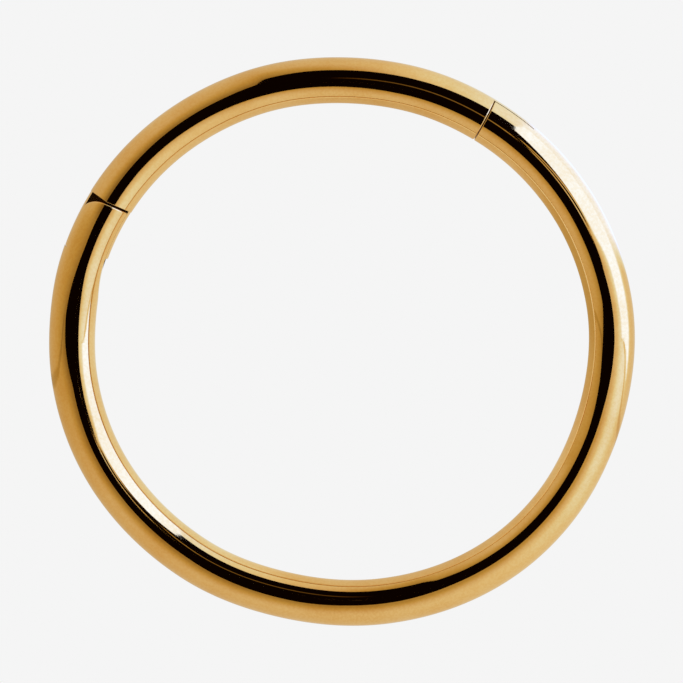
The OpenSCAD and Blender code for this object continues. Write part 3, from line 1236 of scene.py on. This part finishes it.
def polished_gold(name, bright, deep, look):
    """Hand-polished gold: a mirror with gentle waves, fine polishing marks, a little haze and a few
    specks of dust. Its colour shifts between brighter and deeper patches, and is finely mottled."""
    material, maths = new_material(name)
    place = own_place(maths)
    fine = noise(place, FINE_MARKS, 4.0)
    waves = noise(place, WAVES, 1.0)
    haze = noise(place, PATCHES, 3.0).step(*HAZE)
    mottle = fine.step(*MOTTLES)
    cell = maths.node("ShaderNodeTexVoronoi", {}, {"Vector": place, "Scale": DUST_CELLS})
    tint = maths.node("ShaderNodeTexVoronoi", {}, {"Vector": place, "Scale": DUST_CELLS}, output="Color")
    chance = maths.node("ShaderNodeSeparateXYZ", {}, {"Vector": tint})
    dust = (1 - cell.step(*SPECK)) * chance.step(*SPECK_CHANCE) * look.dust
    height = waves * (look.waviness * WAVE_RISE) + fine * look.grain
    gold = (haze * (1 - look.mottling) + mottle * look.mottling).mixed(bright, deep)
    surface = maths.node("ShaderNodeBsdfPrincipled", {}, {
        "Base Color": dust.mixed(gold, SPECK_TINT),
        "Roughness": (look.roughness + haze * HAZE_ROUGHNESS + fine * HAZE_ROUGHNESS
                      + dust * SPECK_ROUGHNESS),
        "Metallic": 1 - dust,
        "Normal": bumped(height, POLISH_RISE),
    })
    return surfaced(material, surface)


def sawn_gold(name, look):
    """Gold as the saw left it: a dull satin with fine level marks and darker streaks along them."""
    material, maths = new_material(name)
    flattened = {0: own_place(maths), 1: (1.0, 1.0, MARK_FLATNESS)}
    level = maths.node("ShaderNodeVectorMath", {"operation": "MULTIPLY"}, flattened)
    marks = noise(level, SAW_MARKS, 3.0)
    deep = tuple(STREAK_TINT * part for part in look.sawn)
    surface = maths.node("ShaderNodeBsdfPrincipled", {}, {
        "Base Color": marks.step(*STREAKS).mixed(look.sawn, deep),
        "Roughness": SAWN_ROUGHNESS + marks * MARK_ROUGHNESS,
        "Metallic": 1.0,
        "Normal": bumped(marks, SAW_RISE),
    })
    return surfaced(material, surface)


def put_piece(name, mesh, materials, node, body):
    """Puts a finished mesh in the scene in place of its CAD node, riding on that node's body."""
    if name in bpy.data.objects:
        bpy.data.objects.remove(bpy.data.objects[name])
    piece = bpy.data.objects.new(name, mesh)
    for material in materials:
        mesh.materials.append(material)
    bpy.context.scene.collection.objects.link(piece)
    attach(piece, body)
    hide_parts(node)


def staged(mesh, material):
    """A new object of the stage."""
    mesh.materials.append(material)
    thing = bpy.data.objects.new(mesh.name, mesh)
    bpy.context.scene.collection.objects.link(thing)
    thing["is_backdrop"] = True
    return thing


def floor_mesh(name, half):
    """A level square about the origin."""
    mesh = bpy.data.meshes.new(name)
    mesh.from_pydata([(-half, -half, 0.0), (half, -half, 0.0), (half, half, 0.0), (-half, half, 0.0)],
                     [], [(0, 1, 2, 3)])
    return mesh


def dome_mesh(name, radius):
    """A sphere of points: radius times the sine of the polar angle round, and its cosine up."""
    polar = np.linspace(0.0, math.pi, DOME_RINGS + 1)[:, None]
    turn = np.linspace(0.0, 2 * math.pi, DOME_SIDES + 1)[None, :-1]
    points = radius * np.stack([np.sin(polar) * np.cos(turn), np.sin(polar) * np.sin(turn),
                                np.cos(polar) + 0 * turn], axis=-1)
    ids = np.arange((DOME_RINGS + 1) * DOME_SIDES).reshape(-1, DOME_SIDES)
    ids = np.concatenate([ids, ids[:, :1]], axis=1)
    quads = np.stack([ids[:-1, :-1], ids[:-1, 1:], ids[1:, 1:], ids[1:, :-1]], -1).reshape(-1, 4)
    mesh = bpy.data.meshes.new(name)
    mesh.from_pydata(points.reshape(-1, 3).tolist(), [], quads.tolist())
    return mesh


def hood_mesh(name, height):
    """A level card between two rims, with a small square just over its middle. The outer rim's distance
    out follows the hood's table by direction. The inner rim's follows the hole's reach, on a straight
    line between its two values on the lamp's side."""
    degrees = np.arange(0.0, 360.0, 0.5)
    turn = np.radians(degrees)
    reach = np.interp(degrees, *zip(*HOOD)) * MM
    at_lamp = (degrees > HOLE_SIDE[0]) & (degrees < HOLE_SIDE[1])
    hole = np.where(at_lamp, np.interp(degrees, HOLE_SIDE, HOLE_AT_LAMP), HOLE_ELSEWHERE) * MM
    out = np.stack([hole, np.maximum(hole, reach)], axis=1)[..., None]
    points = lifted(out * np.stack([np.cos(turn), np.sin(turn)], -1)[:, None], height)
    ids = np.arange(2 * len(turn)).reshape(-1, 2)
    following = np.roll(ids, -1, axis=0)
    quads = np.stack([ids[:, 0], ids[:, 1], following[:, 1], following[:, 0]], -1)
    half = SQUARE_HALF * MM
    square = [(x, y, height + half / 10)
              for x, y in ((-half, -half), (half, -half), (half, half), (-half, half))]
    mesh = bpy.data.meshes.new(name)
    mesh.from_pydata([*points.reshape(-1, 3).tolist(), *square], [],
                     [*quads.tolist(), [len(points) * 2 + corner for corner in range(4)]])
    return mesh


def bearing(maths):
    """Where a place on the stage lies: its distance out from the ring's axis, its height, and its
    direction from 0 to 360 degrees."""
    place = own_place(maths)
    x, y, z = [maths.node("ShaderNodeSeparateXYZ", {}, {"Vector": place}, output=way) for way in "XYZ"]
    turn = maths.math("ARCTAN2", y, x) * math.degrees(1) + 360
    return maths.math("SQRT", x * x + y * y), z, maths.math("MODULO", turn, 360)


def tinted_glow(material, maths, level, look, pale=0.0):
    """The material's glow at a level of brightness, in that level's tint. pale is the share of it that
    is plain grey instead, where it is dimmer than the lamp."""
    brightest = TINTS[-1][1][2]
    stops = [(at, tuple(part / brightest for part in tint)) for at, tint in TINTS]
    grey = level / brightest
    surface = maths.node("ShaderNodeEmission", {}, {
        "Color": ((1 - level.step(*LAMP_LEVEL)) * pale).mixed(level.ramp(stops), grey),
        "Strength": brightest * look.tent_light,
    })
    return surfaced(material, surface)


def tent_level(turn, polar, look):
    """The tent's brightness by its direction and its angle from overhead. Its walls darken upward by
    the square of the share that is left of the wall's rise past the hood, and pass into the floor
    below. On them come the lamp's window, with one leaning side, the camera's dark, two folds and the
    chink's light."""
    hood = turn.math("ARCTANGENT", turn.table(HOOD) / (look.hood_height / MM)) * math.degrees(1)
    rise = 1 - polar.math("DIVIDE", polar - hood, WALL_RISE, clamp=True)
    wall = turn.table(WALL) * (1 - turn.table(SHADE) * rise * rise)
    # Below the level the tent paints the floor as the gold mirrors it: a painted reflection of the floor
    floor = (turn + (polar - 90) * FLOOR_LEAN).table(FLOOR)
    wall = polar.step(*WALL_TO_FLOOR).between(wall, floor)
    edge = turn.table(LAMP_EDGE)
    beside = (turn + polar * LAMP_LEAN).step(*LAMP_ENDS) * (1 - turn.step(*LAMP_STARTS))
    blur = turn.step(*LAMP_BLUR).between(1.0, BLUR_AT_END)
    blurred = (edge - BLUR_ABOVE * blur, edge + BLUR_BELOW * blur)
    lamp = polar.within(blurred, LAMP_TO_FLOOR) * (1 - beside)
    level = lamp.between(wall * (1 - camera_dark(turn, polar, edge)), 1.0)
    for fold in FOLDS:
        off = turn.math("ABSOLUTE", turn - polar.table(fold))
        level = level - (1 - off.step(*FOLD_SIDE)) * polar.step(*FOLD_TOP) * FOLD_DEPTH
    return turn.math("MAXIMUM", level, chink(turn, polar))


def camera_dark(turn, polar, edge):
    """Share of the dark that the camera throws on the tent: round the middle, and as far as the lamp's
    upper edge on the lamp's side."""
    limit = turn.table(CAMERA_DARK)
    outer = turn.within(DARK_STARTS, DARK_ENDS) * (1 - polar.past(edge))
    inner = turn.within(INNER_DARK_STARTS, DARK_ENDS) * (1 - polar.step(*INNER_DARK))
    dark = turn.math("MAXIMUM", outer, inner)
    return turn.math("MAXIMUM", dark, 1 - polar.past(limit))


def chink(turn, polar):
    """The chink's light on the tent: two thin streaks on the lamp's side, one nearer overhead than the
    other."""
    near = turn.math("ABSOLUTE", polar - turn.step(*NEAR_STREAK_MOVES).between(*NEAR_STREAK))
    far = turn.math("ABSOLUTE", polar - (FAR_STREAK - turn * FAR_STREAK_LEAN))
    streaks = turn.math("MAXIMUM", 1 - near.step(*STREAK_SIDE), 1 - far.step(*STREAK_SIDE))
    return streaks * turn.within(CHINK_STARTS, CHINK_ENDS) * turn.table(CHINK)


def tent_glow(look):
    """The glow of the tent's walls."""
    material, maths = new_material("light_tent")
    out, height, turn = bearing(maths)
    polar = maths.math("ARCTAN2", out, height) * math.degrees(1)
    return tinted_glow(material, maths, tent_level(turn, polar, look), look)


def floor_reflection_glow(look, wire_r, ring_r):
    """A painted reflection: a glowing floor disc that only the gold sees, painted as the gold should
    mirror the floor. Outside the ring it passes into the tent's walls, by the angle from overhead of a ray
    that comes down there from the wire's middle height, and it is paler. One thin darker line runs there,
    a
    painted shadow: the edge of the wire's own shadow on the floor."""
    material, maths = new_material("floor_in_gold")
    out, _, turn = bearing(maths)
    dip = maths.math("ARCTAN2", wire_r, out - ring_r) * math.degrees(1)
    outside = out.step(ring_r - wire_r / 2, ring_r)
    # A painted shadow in the floor's reflection: the thin darker edge of the wire's own shadow on the
    # floor
    line = turn.within(SHADOW_EDGE_STARTS, SHADOW_EDGE_ENDS) * dip.within(SHADOW_EDGE_TOP, SHADOW_EDGE_FOOT)
    walls = tent_level(turn, dip + 90, look) - line * SHADOW_EDGE_DEPTH
    level = outside.between(turn.table(INSIDE), walls)
    pale = outside.between(PALE_INSIDE, dip.step(*PALE_DIP) * PALE_OUTSIDE)
    return tinted_glow(material, maths, level, look, pale)


def hood_glow(look):
    """The hood: all but black, with a thin chink of light round the camera on one side."""
    material, maths = new_material("camera_hood")
    out, _, turn = bearing(maths)
    off = maths.math("ABSOLUTE", out / MM - HOOD_CHINK_OUT)
    streak = (1 - off.step(*HOOD_STREAK_SIDE)) * turn.step(*HOOD_CHINK_STARTS) * turn.table(CHINK)
    return tinted_glow(material, maths, streak, look)


def flat_glow(name, brightness):
    """An even pale glow, with no shadow on it."""
    material, maths = new_material(name)
    surface = maths.node("ShaderNodeEmission", {}, {"Color": (brightness,) * 3 + (1.0,)})
    return surfaced(material, surface)


def gold_pair(name, look):
    """A piece's polished gold, and the sawn gold of what the polish doesn't reach."""
    return polished_gold(name, look.bright, look.deep, look), sawn_gold(f"{name}_sawn", look)


def add_camera(scene, look, wire_r):
    """A long lens straight above the ring, as far away as gives its view the set width."""
    lens = bpy.data.cameras.new("long_lens")
    lens.lens = look.lens
    lens.sensor_width = SENSOR
    far = look.view_width * look.lens / SENSOR
    lens.clip_start = far / 10
    lens.clip_end = 20 * far
    camera = bpy.data.objects.new("camera", lens)
    camera.location = (-look.view_left, -look.view_drop, wire_r + far)
    scene.collection.objects.link(camera)
    scene.camera = camera


def pale_world(brightness):
    """A world that is as pale all round as the floor."""
    world = bpy.data.worlds.new("pale_room")
    world.use_nodes = True
    background = world.node_tree.nodes["Background"]
    background.inputs["Color"].default_value = (brightness,) * 3 + (1.0,)
    return world


class CLICKER_OT_ring_body(bpy.types.Operator):
    """Make the polished body of the ring"""

    bl_idname = "clicker.ring_body"
    bl_label = "Ring body"

    def execute(self, context):
        gold = gold_pair("gold", context.scene.clicker_gold)
        mesh = ring_body_mesh(context.scene.clicker_sizes, context.scene.clicker_fits)
        put_piece("ring_body_polished", mesh, gold, "ring_body", "ring")
        return {"FINISHED"}


class CLICKER_OT_hinged_segment(bpy.types.Operator):
    """Make the polished segment that swings on the hinge"""

    bl_idname = "clicker.hinged_segment"
    bl_label = "Hinged segment"

    def execute(self, context):
        gold = gold_pair("gold_segment", context.scene.clicker_gold)
        mesh = hinged_segment_mesh(context.scene.clicker_sizes, context.scene.clicker_fits)
        put_piece("hinged_segment_polished", mesh, gold, "hinged_segment", "segment")
        return {"FINISHED"}


class CLICKER_OT_hinge_pin(bpy.types.Operator):
    """Make the pin of the hinge"""

    bl_idname = "clicker.hinge_pin"
    bl_label = "Hinge pin"

    def execute(self, context):
        look = context.scene.clicker_gold
        gold = [polished_gold("pin_gold", look.pin, look.pin, look)]
        mesh = hinge_pin_mesh(context.scene.clicker_sizes, context.scene.clicker_fits)
        put_piece("hinge_pin_polished", mesh, gold, "hinge_pin", "ring")
        return {"FINISHED"}


class CLICKER_OT_stage(bpy.types.Operator):
    """Set the camera above the ring, on a pale floor in a light tent"""

    bl_idname = "clicker.stage"
    bl_label = "Stage"

    def execute(self, context):
        scene = context.scene
        look = scene.clicker_stage
        wire_r = scene.clicker_sizes.wire_d / 2
        ring_r = (scene.clicker_sizes.inner_d + scene.clicker_sizes.wire_d) / 2
        half = look.tent_r * FLOOR_REACH
        add_camera(scene, look, wire_r)
        floor = staged(floor_mesh("floor", half), flat_glow("pale_floor", look.floor_light))
        floor.visible_glossy = False
        mirrored = (
            # A painted reflection of the floor: a glowing disc that only the gold sees
            staged(floor_mesh("floor_in_gold", half), floor_reflection_glow(look, wire_r, ring_r)),
            staged(dome_mesh("light_tent", look.tent_r), tent_glow(look)),
            staged(hood_mesh("camera_hood", look.hood_height), hood_glow(look)),
        )
        for thing in mirrored:
            thing.visible_camera = False
        scene.world = pale_world(look.floor_light)
        scene.view_settings.view_transform = "Standard"
        return {"FINISHED"}


class CLICKER_PT_panel(bpy.types.Panel):
    """The clicker ring's tools"""

    bl_idname = "CLICKER_PT_panel"
    bl_label = "Clicker Ring"
    bl_space_type = "VIEW_3D"
    bl_region_type = "UI"
    bl_category = "Clicker Ring"

    def draw(self, context):
        layout = self.layout
        for operator in OPERATORS:
            layout.operator(operator.bl_idname)
        for name in SETTINGS:
            group = getattr(context.scene, name)
            box = layout.box()
            for prop in group.__annotations__:
                box.prop(group, prop)


OPERATORS = (CLICKER_OT_ring_body, CLICKER_OT_hinged_segment, CLICKER_OT_hinge_pin, CLICKER_OT_stage)
SETTINGS = {"clicker_sizes": RingSizes, "clicker_fits": RingFits, "clicker_gold": GoldFinish,
            "clicker_stage": StageLook}


def register():
    """Makes the settings, the operators and the panel known to Blender."""
    for group in SETTINGS.values():
        bpy.utils.register_class(group)
    for name, group in SETTINGS.items():
        setattr(bpy.types.Scene, name, bpy.props.PointerProperty(type=group))
    for cls in (*OPERATORS, CLICKER_PT_panel):
        bpy.utils.register_class(cls)


def unregister():
    """Takes back all that register made known."""
    for cls in (CLICKER_PT_panel, *reversed(OPERATORS)):
        bpy.utils.unregister_class(cls)
    for name in SETTINGS:
        delattr(bpy.types.Scene, name)
    for group in SETTINGS.values():
        bpy.utils.unregister_class(group)


def corners():
    """The lowest and the highest corner of all that is shown, as plain lists."""
    return [list(corner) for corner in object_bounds()]


def main():
    """Makes the pieces and the stage in order."""
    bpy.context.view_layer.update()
    register()
    bpy.ops.clicker.ring_body()
    bpy.ops.clicker.hinged_segment()
    bpy.ops.clicker.hinge_pin()
    bpy.ops.clicker.stage()


if __name__ == "__main__":
    main()
